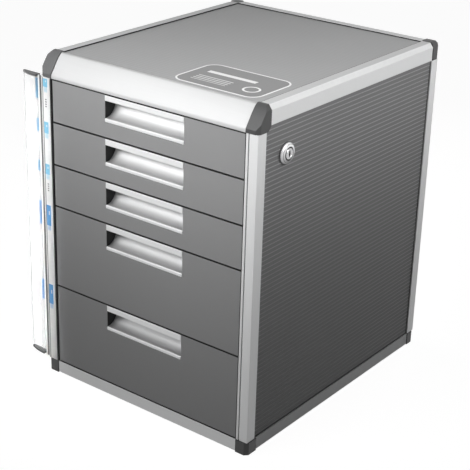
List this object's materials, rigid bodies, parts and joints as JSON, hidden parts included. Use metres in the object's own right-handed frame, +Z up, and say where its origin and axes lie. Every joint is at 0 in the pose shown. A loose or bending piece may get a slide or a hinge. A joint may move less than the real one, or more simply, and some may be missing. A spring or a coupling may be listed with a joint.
{
  "type": "desktop file drawer",
  "caption": "Desktop file cabinet: aluminium frame with moulded corners, ribbed panels, drawers with recessed pulls, a side lock and a hinged index wing.",
  "frame": {"origin": "middle of the base of the whole object's box, on the surface it stands on", "axes": "+Z up, the drawers face -Y, the lock is on +X and the index wing on -X"},
  "size_m": [0.3386, 0.3558, 0.398],
  "materials": {
    "aluminium_frame": "satin anodised",
    "moulded_corner": "satin moulded",
    "ribbed_panel": "satin, finely ribbed",
    "back_sheet": "satin",
    "drawer_front": "smooth satin",
    "brushed_handle": "brushed satin",
    "tray_plastic": "moulded grain",
    "inner_plastic": "plain moulded",
    "plated_steel": "zinc plated",
    "chrome_lock": "polished",
    "clear_wing": "clear",
    "index_card": "printed card"
  },
  "bodies": {
    "root": {"back_panel": "back_sheet", "back_screw_1": "plated_steel", "back_screw_2": "plated_steel", "back_screw_3": "plated_steel", "back_screw_4": "plated_steel", "bottom_panel": "back_sheet", "front_bottom_rail": "aluminium_frame", "front_top_rail": "aluminium_frame", "index_hinge_strip": "aluminium_frame", "index_strip": "index_card", "left_bottom_rail": "aluminium_frame", "left_front_bottom_block": "moulded_corner", "left_front_post": "aluminium_frame", "left_front_top_cap": "moulded_corner", "left_panel": "ribbed_panel", "left_rear_bottom_block": "moulded_corner", "left_rear_post": "aluminium_frame", "left_rear_top_cap": "moulded_corner", "left_runner": "inner_plastic", "left_top_rail": "aluminium_frame", "lock_bar_lower_guide": "inner_plastic", "lock_bar_upper_guide": "inner_plastic", "lock_housing": "chrome_lock", "lock_nut": "plated_steel", "rear_bottom_rail": "aluminium_frame", "rear_top_rail": "aluminium_frame", "right_bottom_rail": "aluminium_frame", "right_front_bottom_block": "moulded_corner", "right_front_post": "aluminium_frame", "right_front_top_cap": "moulded_corner", "right_panel": "ribbed_panel", "right_rear_bottom_block": "moulded_corner", "right_rear_post": "aluminium_frame", "right_rear_top_cap": "moulded_corner", "right_runner": "inner_plastic", "right_top_rail": "aluminium_frame", "top_panel": "ribbed_panel"},
    "drawer_1": {"drawer_1_front": "drawer_front", "drawer_1_handle": "brushed_handle", "drawer_1_tray": "tray_plastic"},
    "drawer_2": {"drawer_2_front": "drawer_front", "drawer_2_handle": "brushed_handle", "drawer_2_tray": "tray_plastic"},
    "drawer_3": {"drawer_3_front": "drawer_front", "drawer_3_handle": "brushed_handle", "drawer_3_tray": "tray_plastic"},
    "drawer_4": {"drawer_4_front": "drawer_front", "drawer_4_handle": "brushed_handle", "drawer_4_tray": "tray_plastic"},
    "drawer_5": {"drawer_5_front": "drawer_front", "drawer_5_handle": "brushed_handle", "drawer_5_tray": "tray_plastic"},
    "lock_plug": {"lock_plug": "chrome_lock", "lock_cam": "plated_steel"},
    "lock_bar": {"lock_bar": "plated_steel"},
    "index_wing": {"index_wing": "clear_wing", "index_wing_card": "index_card", "index_wing_top_cap": "moulded_corner", "index_wing_bottom_cap": "moulded_corner"}
  },
  "joints": [
    {"name": "drawer_1_slide", "type": "slide", "parent": "root", "child": "drawer_1", "axis": [0, -1, 0], "range_m": [0, 0.24]},
    {"name": "drawer_2_slide", "type": "slide", "parent": "root", "child": "drawer_2", "axis": [0, -1, 0], "range_m": [0, 0.24]},
    {"name": "drawer_3_slide", "type": "slide", "parent": "root", "child": "drawer_3", "axis": [0, -1, 0], "range_m": [0, 0.24]},
    {"name": "drawer_4_slide", "type": "slide", "parent": "root", "child": "drawer_4", "axis": [0, -1, 0], "range_m": [0, 0.24]},
    {"name": "drawer_5_slide", "type": "slide", "parent": "root", "child": "drawer_5", "axis": [0, -1, 0], "range_m": [0, 0.24]},
    {"name": "lock_turn", "type": "hinge", "parent": "root", "child": "lock_plug", "pos_m": [0.16435, -0.12615, 0.339], "axis": [1, 0, 0], "range_deg": [0, 90]},
    {"name": "lock_bar_lift", "type": "slide", "parent": "root", "child": "lock_bar", "axis": [0, 0, 1], "range_m": [0, 0.00636]},
    {"name": "index_swing", "type": "hinge", "parent": "root", "child": "index_wing", "pos_m": [-0.14085, -0.17295, 0.193], "axis": [0, 0, 1], "range_deg": [-90, 0]}
  ],
  "couplings": [
    {"joint": "lock_turn", "follows": "lock_bar_lift", "rad_per_m": 246.83}
  ]
}
